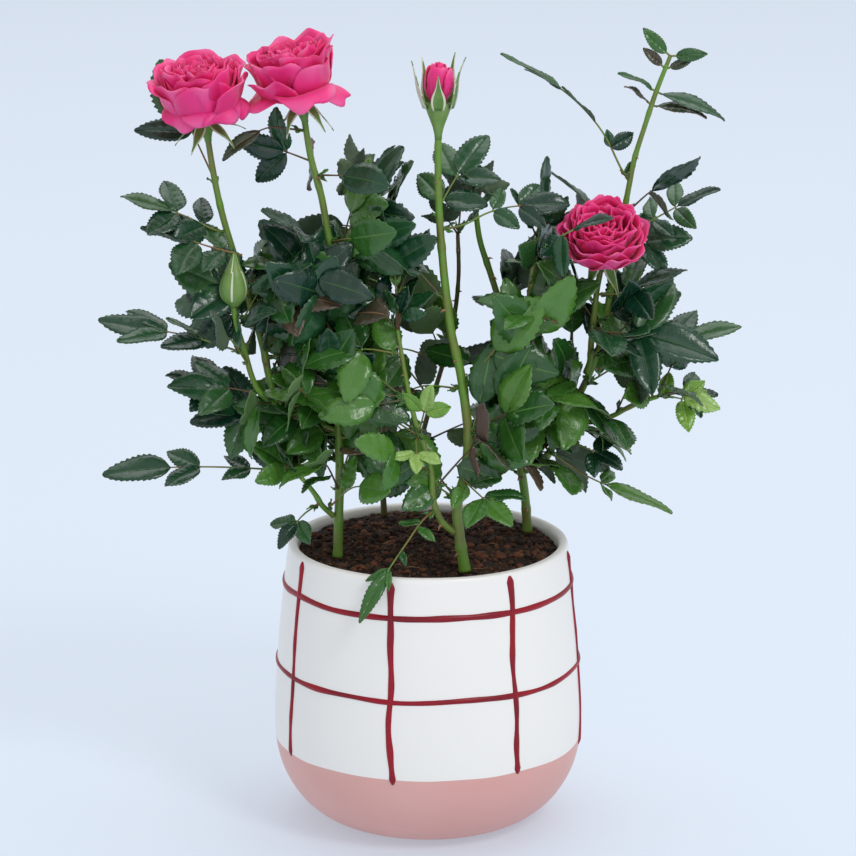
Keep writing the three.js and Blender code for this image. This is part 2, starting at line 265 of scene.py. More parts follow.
def shell_faces(rows, columns):
    """The quads of a closed sheet: its top, its underside and the rim between them."""
    if (rows, columns) not in SHEET_FACES:
        size = rows * columns
        ids = [*range(columns), *range(2 * columns - 1, size, columns),
               *range(size - 2, size - columns - 1, -1), *range(size - 2 * columns, 0, -columns)]
        rim = [[b, a, a + size, b + size] for a, b in zip(ids, ids[1:] + ids[:1])]
        faces = sheet_faces(rows, columns) + sheet_faces(rows, columns, size, True) + rim
        SHEET_FACES[rows, columns] = (np.array(faces), len(rim))
    return SHEET_FACES[rows, columns]


def thin_sheet(skin, grid, thickness, top=0, under=0, rim=0, tone=0.5):
    """A sheet of grid points given a thickness. The top is painted by columns."""
    rows, columns = grid.shape[:2]
    normal = np.cross(np.gradient(grid, axis=1), np.gradient(grid, axis=0))
    normal /= np.maximum(norm(normal, axis=2, keepdims=True), 1e-12)
    upper = (grid + normal * thickness / 2).reshape(-1, 3)
    lower = (grid - normal * thickness / 2).reshape(-1, 3)
    faces, rims = shell_faces(rows, columns)
    quads = (rows - 1) * (columns - 1)
    tops = [top] * quads if isinstance(top, int) else list(top) * (rows - 1)
    tones = np.concatenate([np.ravel(tone)] * 2) if np.ndim(tone) else tone
    skin.add(np.vstack([upper, lower]), faces, tops + [under] * quads + [rim] * rims, tones)


def tube(skin, line, radii, sides=6, paint=0, relief=None):
    """A closed round tube along a line, with its own radius at each point."""
    line = np.asarray(line, float)
    radii = np.broadcast_to(np.asarray(radii, float), (len(line),))
    heading = np.gradient(line, axis=0)
    side = square_to(np.array([1.0, 0.13, 0.07]), unit(heading[0]))
    rings = []
    for i, (centre, way, radius) in enumerate(zip(line, heading, radii)):
        way = unit(way)
        side = square_to(side, way)
        other = np.cross(way, side)
        for angle in angles_round(sides):
            r = radius + relief(i, angle) if relief else radius
            rings.append(centre + r * (side * cos(angle) + other * sin(angle)))
    last = (len(line) - 1) * sides
    ends = [list(range(sides))[::-1], list(range(last, last + sides))]
    skin.add(rings, ring_faces(len(line) - 1, sides) + ends, paint)


def lathe(outline, turns, shift=None):
    """Points and faces of a turned shape whose outline starts and ends on the axis."""
    points = []
    for k, (r, z) in enumerate(outline):
        for angle in angles_round(turns):
            dr, dz = shift(k, r, z, angle) if shift else (0, 0)
            points.append(((r + dr) * sin(angle), -(r + dr) * cos(angle), z + dz))
    return np.array(points), ring_faces(len(outline) - 1, turns)


def smooth_outline(outline, step):
    return [(p[0], p[2]) for p in smooth_line([(r, 0, z) for r, z in outline], step)]


# ---- materials

def material(name, base, roughness, bump=0.0, bump_scale=400, mottle=None, mottle_scale=60,
             rough_swing=0.0, coat=0.0, subsurface=0.0, tone_ramp=None, sheen=0.0, shine=0.5):
    """A Principled surface, in display colours, with fine noise in its height, gloss and colour."""
    made = bpy.data.materials.new(name)
    made.use_nodes = True
    tree = made.node_tree

    def fill(node, settings):
        """Gives each named socket its value, or a link from another node's socket."""
        for socket, value in settings.items():
            socket = node.inputs[socket.replace("_", " ")]
            if isinstance(value, bpy.types.NodeSocket):
                tree.links.new(value, socket)
            else:
                socket.default_value = value
        return node

    def new(kind, **settings):
        return fill(tree.nodes.new("ShaderNode" + kind), settings)

    place = new("TexCoord").outputs["Object"]

    def speckle(scale, octaves):
        return new("TexNoise", Scale=scale, Detail=octaves, Vector=place).outputs["Fac"]

    look = {"Base Color": colour(*base), "Roughness": roughness, "Specular IOR Level": shine,
            "Coat Weight": coat, "Coat Roughness": 0.12, "Sheen Weight": sheen,
            "Subsurface Weight": subsurface, "Subsurface Scale": 0.002}
    if tone_ramp:
        read = new("Attribute")
        read.attribute_name = "tone"
        ramp = new("ValToRGB", Fac=read.outputs["Fac"])
        for stop, (position, shade) in zip(ramp.color_ramp.elements, (tone_ramp[0], tone_ramp[-1])):
            stop.position, stop.color = position, colour(*shade)
        for position, shade in tone_ramp[1:-1]:
            ramp.color_ramp.elements.new(position).color = colour(*shade)
        look["Base Color"] = ramp.outputs["Color"]
    if mottle:
        edge = new("MapRange", From_Min=0.42, From_Max=0.66, Value=speckle(mottle_scale, 4))
        mix = new("Mix")
        mix.data_type = "RGBA"
        fill(mix, {"Factor": edge.outputs["Result"], "A": look["Base Color"], "B": colour(*mottle)})
        look["Base Color"] = mix.outputs["Result"]
    if bump:
        grain = speckle(bump_scale, 5)
        look["Normal"] = new("Bump", Strength=bump, Distance=0.0004, Height=grain).outputs["Normal"]
    if rough_swing:
        swing = new("MapRange", To_Min=roughness - rough_swing, To_Max=roughness + rough_swing,
                    Value=speckle(bump_scale * 0.4, 3))
        look["Roughness"] = swing.outputs["Result"]
    fill(tree.nodes["Principled BSDF"], look)
    return made


def leaf_paints(name, tops, unders, rib):
    """The paints of one tint: some upper shades, some under shades, then the midrib."""
    kinds = [("top", tops, 0.25, 0.4, 700, 0.6), ("under", unders, 0.6, 0.3, 900, 0.3)]
    made = [material(f"{name}_{side}_{i}", shade, rough, bump, scale, rough_swing=0.08, shine=shine)
            for side, shades, rough, bump, scale, shine in kinds for i, shade in enumerate(shades)]
    return made + [material(f"{name}_rib", rib, 0.45, 0.2, 900)]


LEAF_SHADES = {
    "leaf_dark": ([(26, 66, 42), (34, 76, 44), (20, 54, 38), (48, 88, 46)],
                  [(92, 110, 84), (82, 98, 78)], (48, 84, 46)),
    "leaf_mid": ([(50, 96, 36), (62, 110, 40), (38, 82, 34), (76, 122, 46)],
                 [(104, 132, 84), (92, 120, 74)], (80, 122, 56)),
    "leaf_pale": ([(110, 156, 52), (126, 170, 70), (94, 142, 42), (142, 178, 90)],
                  [(150, 180, 112), (138, 170, 102)], (172, 194, 106)),
    "leaf_bronze": ([(66, 62, 46), (50, 54, 42), (78, 66, 52), (54, 66, 44)],
                    [(116, 92, 84), (102, 84, 76)], (134, 100, 76)),
}
TINTS = {tint: leaf_paints(tint, *shades) for tint, shades in LEAF_SHADES.items()}
UPPER_SHADES = 4
UNDER_SHADES = 2
STALK_PAINTS = [
    material("stalk_green", (104, 134, 58), 0.45, 0.3, 700, (128, 92, 52), 90, 0.08),
    material("stalk_red", (98, 70, 46), 0.45, 0.3, 700, (80, 84, 46), 90, 0.08),
]


# ---- reading the frame

def named(*kinds):
    """The CAD nodes whose names start in one of these ways."""
    return [n for n in NODES if n.startswith(kinds)]


def node_points(name):
    mesh = NODES[name].data
    flat = np.empty(len(mesh.vertices) * 3, np.float32)
    mesh.vertices.foreach_get("co", flat)
    return np.unique(np.round(flat.reshape(-1, 3).astype(float), 6), axis=0)


def node_tree(name):
    mesh = NODES[name].data
    return BVHTree.FromPolygons([v.co for v in mesh.vertices], [tuple(p.vertices) for p in mesh.polygons])


def main_axis(points):
    middle = points.mean(0)
    return middle, np.linalg.svd(points - middle, full_matrices=False)[2]


def limb_line(name):
    """A limb's centre line and radii, from the rings of its CAD solid, foot first."""
    ring_gap = 1.1 * MM
    points = node_points(name)
    middle, axes = main_axis(points)
    way = axes[0] if axes[0][2] >= 0 else -axes[0]
    place = (points - middle) @ way
    order = np.argsort(place)
    groups = np.split(order, np.where(np.diff(place[order]) > ring_gap)[0] + 1)
    rings = [points[g] for k, g in enumerate(groups) if len(g) > 4 or k in (0, len(groups) - 1)]
    line = np.array([ring.mean(0) for ring in rings])
    radii = np.array([norm(ring - centre, axis=1).max() for ring, centre in zip(rings, line)])
    radii[:2] = radii[2] * np.array([1.08, 1.04])
    return line, radii


LIMBS = {n: limb_line(n) for n in named("cane_", "bough_")}
SKELETON = np.vstack([smooth_line(line, 2 * MM) for line, _ in LIMBS.values()])


def nearest_limb(point, lowest=None):
    near = SKELETON
    if lowest is not None:
        near = SKELETON[SKELETON[:, 2] < point[2] + lowest]
    return near[np.argmin(norm(near - point, axis=1))]


def blade_frame(name):
    """A compound leaf's midline from its stalk to its tip, and its upper normal."""
    points = node_points(name)
    middle, axes = main_axis(points)
    place = (points - middle) @ axes[0]
    fit = [np.polyfit(place, (points - middle) @ axes[k], 2) for k in (1, 2)]

    def on_line(s):
        return middle + axes[0] * s + axes[1] * np.polyval(fit[0], s) + axes[2] * np.polyval(fit[1], s)

    line = np.array([on_line(s) for s in np.linspace(place.min(), place.max(), 15)])
    rest = np.array([p - on_line(s) for p, s in zip(points, place)])
    spread = np.linalg.svd(rest, full_matrices=False)[2][0]
    if norm(nearest_limb(line[-1]) - line[-1]) < norm(nearest_limb(line[0]) - line[0]):
        line = line[::-1]
    way = unit(line[-1] - line[0])
    normal = square_to(np.cross(spread, way), way)
    return line, -normal if np.dot(normal, (0, -0.64, 0.77)) < 0 else normal


# ---- leaves

# Leaflets in the front half turn their upper sides to the light there.
MOST_AWAY = -0.12
FRONT_HALF = 14 * MM
LEAVES = {tint: Skin() for tint in TINTS}
STALKS = Skin()


def leaflet(tint, foot, way, face, length, width, rng, fold=0.3, droop=0.35, twist=0.0, make=FINE):
    """One toothed leaflet: a folded, veined blade that bends down towards its tip."""
    stations, columns, veins, relief = make
    way = unit(way)
    face = square_to(face, way)
    if twist:
        face = turned(face, way, twist)
    away = face @ TO_EYE
    if make is PLAIN and away < MOST_AWAY and foot[1] < FRONT_HALF:
        face = square_to(face - 2 * away * TO_EYE, way)
    side = np.cross(way, face)
    u = np.linspace(0, 1, stations + 1)
    outline = u ** 0.62 * (1 - u) ** 0.86
    outline *= width / 2 / outline.max()
    outline = np.maximum(outline, 0.12 * MM)
    odd = np.arange(len(u)) % 2 == 1
    teeth = np.where(odd, 1.07, 0.955)
    tooth_push = np.where(odd, 0.4 * length / stations, 0)
    bend = droop * (0.2 * u + 0.8 * u * u) + rng.uniform(-0.1, 0.1) * np.sin(5 * u)
    step = length / stations
    run, drop = (summed(part(bend[:-1]) * step) for part in (np.cos, np.sin))
    grid = np.empty((len(u), len(columns), 3))
    ripple = rng.uniform(0, ANY_TURN)
    curve = rng.uniform(-0.09, 0.09) * length * u * u
    for j, s in enumerate(columns):
        edge = abs(s) == 1
        x = outline * s * (teeth if edge else 1)
        reach = run + (tooth_push if edge else 0)
        vein = np.cos(2 * pi * (veins * (u - 0.16 * abs(s)) + 0.25))
        rise = fold * np.abs(x) * (1 - 0.55 * abs(s)) - 0.1 * fold * np.abs(x) * abs(s)
        rise += relief * vein * (1 - u) ** 0.3 * min(1, 3 * abs(s)) * (0.4 if edge else 1)
        rise += 0.5 * MM * abs(s) * np.sin(8 * u + ripple + (1.9 if s > 0 else 0))
        if abs(s) < RIB_WIDTH:
            rise -= 0.12 * MM if s == 0 else 0.02 * MM
        lift = -drop + rise * np.cos(bend)
        forward = reach + rise * np.sin(bend)
        grid[:, j] = foot + np.outer(forward, way) + np.outer(lift, face) + np.outer(x + curve, side)
    shade = rng.randrange(UPPER_SHADES)
    under = UPPER_SHADES + rng.randrange(UNDER_SHADES)
    rib = UPPER_SHADES + UNDER_SHADES
    row = [rib if max(abs(a), abs(b)) < RIB_WIDTH else shade for a, b in zip(columns, columns[1:])]
    thin_sheet(LEAVES[tint], grid, LEAF_THICKNESS, row, under, under)


def stipule(at, way, face, size, rng):
    """The small winged base of a leaf stalk."""
    for sign in (-1, 1):
        out = unit(way + sign * 0.5 * np.cross(way, face))
        leaflet("leaf_mid", at, out, face, size, size * 0.3, rng, 0.2, -0.2, 0, PLAIN)


def hidden(line):
    """Whether too much of a leaf along a line would stand in the gaps."""
    bare = sum(in_a_gap(p) for p in line[::3])
    heart = (line[-1] + line[len(line) // 2]) / 2
    return bare > MOST_BARE * len(line[::3]) or in_a_gap(line[-1]) or in_a_gap(heart)


def compound_leaf(tint, line, face, leaflet_length, pairs, rng, slim=0.56, fold=0.3, droop=0.35, open_to=1.0,
                  stalk=0, make=FINE, gaps=False, pair_size=0.92, first=0.08, spacing=PAIR_SPACING):
    """A stalk along a line, leaflets in pairs along it and one at its end."""
    if gaps and hidden(line):
        return False
    total = lengths(line)[-1]
    end_length = min(leaflet_length, total * 0.62)
    stalk_length = total - end_length
    count = max(4, int(stalk_length / (2.5 * MM)))
    stalk_line = [along(line, stalk_length * k / count)[0] for k in range(count + 1)]
    tube(STALKS, stalk_line, np.linspace(STALK_RADIUS, 0.6 * STALK_RADIUS, count + 1), 5, stalk)
    tip, way = along(line, stalk_length)
    leaflet(tint, tip, way, face, end_length, end_length * slim, rng, fold, droop,
            rng.uniform(-0.3, 0.3), make)
    for pair in range(pairs):
        place = stalk_length - (first + spacing * pair) * end_length
        if place < 2.5 * MM:
            break
        at, way = along(line, place)
        up = square_to(face, way)
        size = end_length * (pair_size - 0.13 * pair)
        for sign in (-1, 1):
            out = turned(way, up, sign * open_to * rng.uniform(0.95, 1.25))
            lean = turned(up, way, sign * rng.uniform(-0.1, 0.35))
            lean = lean + LEAN_SWING * np.array([rng.uniform(-1, 1) for _ in range(3)])
            length = size * rng.uniform(0.88, 1.08)
            short = at + out * 0.9 * MM
            if gaps and (in_a_gap(at + out * 0.55 * length) or in_a_gap(at + out * 0.95 * length)):
                continue
            tube(STALKS, [at, at + out * 0.5 * MM, short], 0.32 * MM, 4, stalk)
            leaflet(tint, short, out, lean, length, length * slim * rng.uniform(0.95, 1.12), rng, fold,
                    droop * rng.uniform(0.6, 1.3), 0, make)
    if stalk_length > 12 * MM:
        way = along(line, 1 * MM)[1]
        stipule(along(line, 1.5 * MM)[0], way, square_to(face, way), 5 * MM, rng)
    return True


# How the outline leaves differ from the usual five leaflets, whose length, here in mm, goes by
# the CAD blade. A twin is two single leaves that part from the limb towards the blade's two ends.
# The rows of more are single leaves: (part of the line, turn in degrees, length, its own face).
FRONT = (0, -0.85, 0.5)
HABITS = {
    "bloom_screen": dict(pairs=0, size=19, face=(-0.2, -0.2, 1), slim=0.42,
                         more=((0.34, -112, 16, FRONT), (0.3, -165, 12, FRONT))),
    "top_right": dict(pairs=2, size=19, slim=0.56, open_to=0.8, pair_size=0.75, tint="leaf_dark"),
    "pale_right": dict(pairs=1, size=15, more=((0.1, 70, 10, FRONT), (0.5, 40, 8, FRONT))),
    "left_fan": dict(pairs=2, size=25, slim=0.72),
    "right_round": dict(pairs=1, size=22, slim=0.62),
    "under_bloom": dict(pairs=1, size=30, slim=0.45),
    "behind_left_bloom": dict(pairs=0, size=28, slim=0.66,
                              more=((0.46, 62, 23, None), (0.42, -50, 18, None))),
    "right_high": dict(pairs=2, size=18, slim=0.42, open_to=1.3),
    "bronze_arch": dict(pairs=0, size=20, slim=0.3, droop=0.9, stalk=1),
    "high_arch": dict(pairs=1, size=26, slim=0.32, droop=0.25, open_to=0.3, face=(0.3, 0.1, 1), pair_size=0.7,
                      more=((0.38, 6, 20, None), (0.22, -92, 11, FRONT), (0.22, -12, 7, FRONT),
                            (0.05, -80, 7, FRONT))),
    "low_left": dict(pairs=2, size=27, slim=0.5, droop=0.15, face=(0, -0.32, 1), open_to=0.62, pair_size=0.7,
                     first=0.45, spacing=0.74),
    "left_reach": dict(pairs=2, size=26, slim=0.46, droop=0.2, face=(0.1, -0.35, 1), open_to=0.6,
                       pair_size=0.85),
    "right_reach": dict(pairs=1, size=28, slim=0.48, droop=0.1, face=(0, -0.5, 1), open_to=0.7,
                        pair_size=0.7),
    "over_rim": dict(pairs=1, size=23, slim=0.27, droop=0.1, open_to=0.5, pair_size=0.4,
                     more=((0.2, 70, 10, None), (0.16, -60, 9, None), (0.42, 50, 7, None))),
    "low_right": dict(pairs=1, size=29, slim=0.34, droop=0.1, open_to=1.1, face=(0, -0.12, 1), pair_size=0.5),
    "tall_tip": dict(twin=True, slim=0.42, droop=0.1, lift=3.5 * MM, tilt=(0.35, -0.12), tint="leaf_mid"),
    "tall_pair": dict(twin=True, slim=0.32, droop=0.5, face=(0, -0.34, 1)),
    "right_droop": dict(pairs=1, size=31, slim=0.52, droop=0.3, fold=0.6),
}


def twin_leaves(tint, line, face, rng, slim, droop, lift=0.0, tilt=(0.0, 0.0)):
    """Two single leaves from one joint on the limb, towards both ends of the line."""
    joint = nearest_limb(line[len(line) // 2])
    if lift:
        tip = joint + lift * unit(joint - nearest_limb(joint - 6 * MM * UP))
        tube(STALKS, smooth_line([joint - 0.3 * (tip - joint), tip], MM), 0.85 * MM, 8, 0)
        joint = tip
    below = nearest_limb(joint - 6 * MM * UP)
    for start, scale, rise in ((joint, 1, 0), (below, 0.75, 0.3)):
        for end, turn_up in zip((line[0], line[-1]), tilt):
            length = norm(end - joint) * scale
            way = unit(end - joint + (rise + turn_up) * length * UP)
            tube(STALKS, smooth_line([start, start + way * 2.5 * MM], MM), 0.45 * MM, 5, 0)
            leaflet(tint if scale == 1 else "leaf_bronze", start + way * 2 * MM, way + UP * 0.3 * droop, face,
                    length, length * slim, rng, 0.3, droop)


def outline_leaves():
    for name in sorted(named("leaf_")):
        rng = random.Random(name)
        line, face = blade_frame(name)
        habit = dict(HABITS.get(name.removeprefix("leaf_"), {}))
        face = np.array(habit.pop("face", face + 0.5 * UP))
        tint = habit.pop("tint", SLOT_OF[name])
        if habit.pop("twin", False):
            twin_leaves(tint, line, face, rng, **habit)
            continue
        pairs = habit.pop("pairs", 2 if lengths(line)[-1] > 34 * MM else 1)
        size = habit.pop("size", 0) * MM or min(26 * MM, lengths(line)[-1] * 0.5)
        root = nearest_limb(line[0])
        if norm(root - line[0]) < 12 * MM:
            line = smooth_line([root, *line[1::3], line[-1]], 2.5 * MM)
        more = habit.pop("more", ())
        compound_leaf(tint, line, face, size, pairs, rng, **habit)
        for place, turn, length, own_face in more:
            at, way = along(line, place * lengths(line)[-1])
            up = square_to(np.array(own_face or face), way)
            broad = 0.6 if own_face else 0.4
            leaflet(tint, at, turned(way, up, radians(turn)), up, length * MM, broad * length * MM, rng,
                    0.4, 0.3)


# Where leaves leave gaps, seen from the front: a window of sky, and chinks by a noise. The low
# crown and the flanks are loose: leaves may stray there out of the CAD foliage's outline.
WINDOW = (24 * MM, 245 * MM)
WINDOW_SIZE = (15 * MM, 21 * MM)
LOW_CROWN = (127 * MM, 172 * MM)
LOW_CROWN_REACH = 84 * MM
FLANK = (62 * MM, 102 * MM)
FLANK_TOP = 232 * MM
CHINK_SIZE = 19 * MM
CHINK_LEVEL = 0.2
MOST_BARE = 0.3

# How the crown is filled: the room for each leaf and each twig, how far leaves reach, how low
# they may start, and the height under which they may hang from higher twigs.
LEAF_ROOM = 2900 * MM ** 3
TWIG_ROOM = 9000 * MM ** 3
LEAF_SPACING = 13 * MM
LEAF_REACH = (32 * MM, 54 * MM)
LOWEST_HUB = 138 * MM
LOWEST_JOINT = 130 * MM
LOW_LEAVES = 175 * MM
LEAF_ENDS = []


def joined_tree(*kinds):
    """One tree of the solids whose names start in one of these ways."""
    points, faces = [], []
    for mesh in (NODES[n].data for n in named(*kinds)):
        faces.extend(tuple(i + len(points) for i in p.vertices) for p in mesh.polygons)
        points.extend(v.co for v in mesh.vertices)
    return BVHTree.FromPolygons(points, faces)


FOLIAGE = joined_tree("leaf_", "mass_", "bloom_")
FLOWERS = joined_tree("bloom_", "bud_")


def depth_in(tree, p):
    """How far a point lies inside a closed solid; outside it is less than zero."""
    hit, normal, _, distance = tree.find_nearest(Vector(p))
    return distance if (hit - Vector(p)).dot(normal) > 0 else -distance


def in_fringe(across, height):
    """Whether a place is in the loose skirt of the crown or at its flanks, where leaves stray."""
    if LOW_CROWN[0] < height < LOW_CROWN[1]:
        return abs(across) < LOW_CROWN_REACH
    return FLANK[0] < abs(across) < FLANK[1] and LOW_CROWN[1] < height < FLANK_TOP


def in_a_gap(p):
    """Whether a leaf at p would fill a gap that shows sky from the front, or hide a flower."""
    way = Vector(p) - EYE
    flower = FLOWERS.ray_cast(EYE, way.normalized())[3]
    if flower is not None and flower > way.length:
        return True
    across, height = p[0], p[2] + SINK * p[1]
    window = ((across - WINDOW[0]) / WINDOW_SIZE[0]) ** 2 + ((height - WINDOW[1]) / WINDOW_SIZE[1]) ** 2
    if window < 1:
        return True
    if not in_fringe(across, height) and FOLIAGE.ray_cast(EYE, way.normalized())[0] is None:
        return True
    return wave(across / CHINK_SIZE, 4.2, height / CHINK_SIZE) > CHINK_LEVEL


def facing(p, rng):
    """Which way a leaf at p turns its face: out of the bush, upwards, and a little at random."""
    out = np.array([p[0] / (75 * MM), (p[1] - 8 * MM) / (34 * MM), 0])
    out /= max(1, norm(out))
    return unit(0.6 * UP + 0.85 * out + 0.42 * np.array([rng.uniform(-1, 1) for _ in range(3)]))


def crowded(p, room):
    return any(norm(p - q) < room for q in LEAF_ENDS)


def tint_for(usual, rng):
    draw = rng.random()
    if draw < 0.05:
        return "leaf_bronze"
    return "leaf_mid" if draw < 0.16 else usual


def fill_mass(name):
    """Twigs from the nearest limbs into a mass, and compound leaves out past its surface."""
    rng = random.Random(name)
    tree = node_tree(name)
    low, high = (np.array(c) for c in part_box(name))
    volume = pi / 6 * np.prod(high - low)

    def inside(shallow, deep, margin=0.0):
        for _ in range(400):
            p = np.array([rng.uniform(a - margin, b + margin) for a, b in zip(low, high)])
            if shallow < depth_in(tree, p) < deep:
                return p
        return (low + high) / 2

    hubs = [SKELETON[SKELETON[:, 2] > LOWEST_HUB]]
    owners = [None] * len(hubs[0])
    twigs = []
    for _ in range(max(3, round(volume / TWIG_ROOM))):
        hub = inside(4 * MM, 30 * MM)
        twig = arch(nearest_limb(hub, 2 * MM), hub, 0.12)
        first = len(twig) // 3
        hubs.append(twig[first::2])
        owners += [(len(twigs), k) for k in range(first, len(twig), 2)]
        twigs.append([twig, rng.randrange(2), 0])
    hubs = np.vstack(hubs)
    wanted = round(volume / LEAF_ROOM)
    made = 0
    for _ in range(wanted * 12):
        if made >= wanted:
            break
        target = inside(-8 * MM, 7 * MM, 8 * MM)
        if crowded(target, LEAF_SPACING):
            continue
        away = norm(hubs - target, axis=1)
        hang = 10 * MM + 0.9 * max(0, LOW_LEAVES - target[2])
        fair = np.where((away > LEAF_REACH[0]) & (away < LEAF_REACH[1]) & (hubs[:, 2] < target[2] + hang))[0]
        if not len(fair):
            continue
        hub = rng.choice(list(fair))
        line = arch(hubs[hub], target, rng.uniform(0.05, 0.25))
        size = rng.uniform(22, 30) * MM
        grown = compound_leaf(tint_for(SLOT_OF[name], rng), line, facing(target, rng), size, 2, rng,
                              slim=rng.uniform(0.5, 0.64), fold=rng.uniform(0.12, 0.45),
                              droop=rng.uniform(0.1, 0.6), stalk=rng.randrange(2), make=PLAIN, gaps=True)
        if grown:
            LEAF_ENDS.append(target)
            made += 1
            if owners[hub]:
                number, reached = owners[hub]
                twigs[number][2] = max(twigs[number][2], reached)
    for twig, paint, reached in twigs:
        if reached:
            tube(STALKS, twig[:reached + 1], np.linspace(0.9 * MM, 0.5 * MM, reached + 1), 6, paint)


def leaves_along(name):
    """Compound leaves from a limb's own joints, each towards the nearest foliage."""
    rng = random.Random(name + " leaves")
    line, _ = LIMBS[name]
    total = lengths(line)[-1]
    place = rng.uniform(4, 12) * MM
    while place < total - 18 * MM:
        at, way = along(line, place)
        place += rng.uniform(13, 21) * MM
        if at[2] < LOWEST_JOINT:
            continue
        for _ in range(14):
            out = sideways(way, rng.uniform(0, ANY_TURN))
            target = at + unit(out + rng.uniform(0.1, 0.8) * way) * rng.uniform(34, 50) * MM
            loose = in_fringe(target[0], target[2] + SINK * target[1])
            if not loose and depth_in(FOLIAGE, target) < -7 * MM:
                continue
            if crowded(target, LEAF_SPACING * (1.2 if loose else 1)):
                continue
            leaf_line = arch(at, target, rng.uniform(0.08, 0.25))
            tint = tint_for("leaf_dark" if at[2] > 185 * MM else "leaf_mid", rng)
            if compound_leaf(tint, leaf_line, facing(target, rng), rng.uniform(20, 25) * MM, 2, rng,
                             slim=rng.uniform(0.55, 0.66), droop=rng.uniform(0.1, 0.6),
                             stalk=rng.randrange(2), make=PLAIN, gaps=True):
                LEAF_ENDS.append(target)
                break


# Sprays that reach out of the crown: (limb, part of its length, reach in mm, tint).
STRAY_SPRAYS = [
    ("bough_bud_left", 0.25, (-36, -8, -2), "leaf_dark"), ("cane_left", 0.28, (-42, -8, 8), "leaf_mid"),
    ("bough_bud_left", 0.05, (-34, -4, -10), "leaf_dark"), ("bough_left", 0.42, (-30, 6, 6), "leaf_dark"),
    ("bough_low_left", 0.9, (-22, -12, 14), "leaf_mid"),
    ("bough_low_right", 0.5, (16, -14, 30), "leaf_dark"),
    ("bough_bloom_right", 0.15, (38, 4, 22), "leaf_dark"),
    ("bough_bloom_right", 0.5, (34, -6, 10), "leaf_dark"),
    ("cane_right", 0.25, (36, -14, -8), "leaf_dark"), ("cane_left", 0.9, (-30, 2, 2), "leaf_dark"),
]


def stray_sprays():
    for limb, part, reach, tint in STRAY_SPRAYS:
        rng = random.Random(f"{limb} {part}")
        line, _ = LIMBS[limb]
        foot, _ = along(line, part * lengths(line)[-1])
        tip = foot + np.array(reach) * MM
        compound_leaf(tint, arch(foot, tip, 0.12), facing(tip, rng), 23 * MM, 2, rng, open_to=0.9, stalk=1)
        LEAF_ENDS.append(tip)


def end_sprays():
    """Young leaves that close the end of each limb without a flower."""
    flowers = [np.array(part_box(n)[0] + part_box(n)[1]) / 2 for n in named("bloom_", "bud_")]
    for limb in sorted(LIMBS):
        rng = random.Random(limb + " end")
        line, _ = LIMBS[limb]
        if min(norm(line[-1] - f) for f in flowers) < 24 * MM or line[-1][2] > 290 * MM:
            continue
        way = unit(line[-1] - line[-3])
        spin = rng.uniform(0, ANY_TURN)
        for turn in (0, 2.2, 4.3):
            out = sideways(way, spin + turn)
            tip = line[-1] + unit(way + 0.9 * out) * rng.uniform(20, 28) * MM
            compound_leaf("leaf_dark", arch(line[-1], tip, 0.1), facing(tip, rng),
                          rng.uniform(13, 17) * MM, 1, rng, slim=0.5, open_to=0.9, stalk=1, make=PLAIN)


outline_leaves()
stray_sprays()
end_sprays()
for mass in sorted(named("mass_")):
    fill_mass(mass)
for limb in sorted(LIMBS):
    leaves_along(limb)


# ---- canes and boughs

CANE_PAINTS = [
    material("cane_young", (100, 142, 50), 0.4, 0.35, 500, (112, 118, 56), 70, 0.1),
    material("cane_aged", (88, 94, 46), 0.5, 0.5, 500, (104, 76, 48), 90, 0.1),
    material("prickle", (150, 112, 78), 0.4, 0.1, 500),
]


def prickle(skin, at, out, way, size):
    tip = at + out * size - way * size * 0.35
    line = smooth_line([at - out * 0.3 * MM, at + out * size * 0.45, tip], size / 5)
    tube(skin, line, np.linspace(0.36 * size, 0.03 * MM, len(line)), 6, 2)


def grow_limb(name):
    """Bark over a limb: swellings at its nodes, long shallow ridges and a few prickles."""
    rng = random.Random(name)
    line, radii = LIMBS[name]
    fine = smooth_line(line, 1.1 * MM)
    run = lengths(fine)
    radius = np.interp(run / run[-1], lengths(line) / lengths(line)[-1], radii)
    bud_points = []
    spot = rng.uniform(9, 16) * MM
    while spot < run[-1] - 6 * MM:
        bud_points.append(spot)
        spot += rng.uniform(14, 24) * MM
    for spot in bud_points:
        radius = radius * (1 + 0.14 * np.exp(-((run - spot) / (1.5 * MM)) ** 2))
    if name.startswith("cane_"):
        radius = radius * (1 + 0.15 * np.exp(-run / (3 * MM)))
    seed = rng.uniform(0, 50)

    def ridge(i, turn):
        return 0.07 * MM * wave(3 * cos(turn) + seed, 3 * sin(turn), run[i] * 120, 1)

    skin = Skin()
    tube(skin, fine, radius, 12, int(name.startswith("cane_back")), ridge)
    for spot in bud_points:
        for _ in range(rng.choice((0, 1, 1, 2))):
            place = spot + rng.uniform(-7, 7) * MM
            at, way = along(fine, place)
            out = sideways(way, rng.uniform(0, ANY_TURN))
            prickle(skin, at + out * np.interp(place, run, radius), out, way, rng.uniform(1.2, 2.3) * MM)
    skin.piece(name + "_bark", CANE_PAINTS, SLOT_OF[name], (name,))


for limb in sorted(LIMBS):
    grow_limb(limb)


# ---- blooms and buds

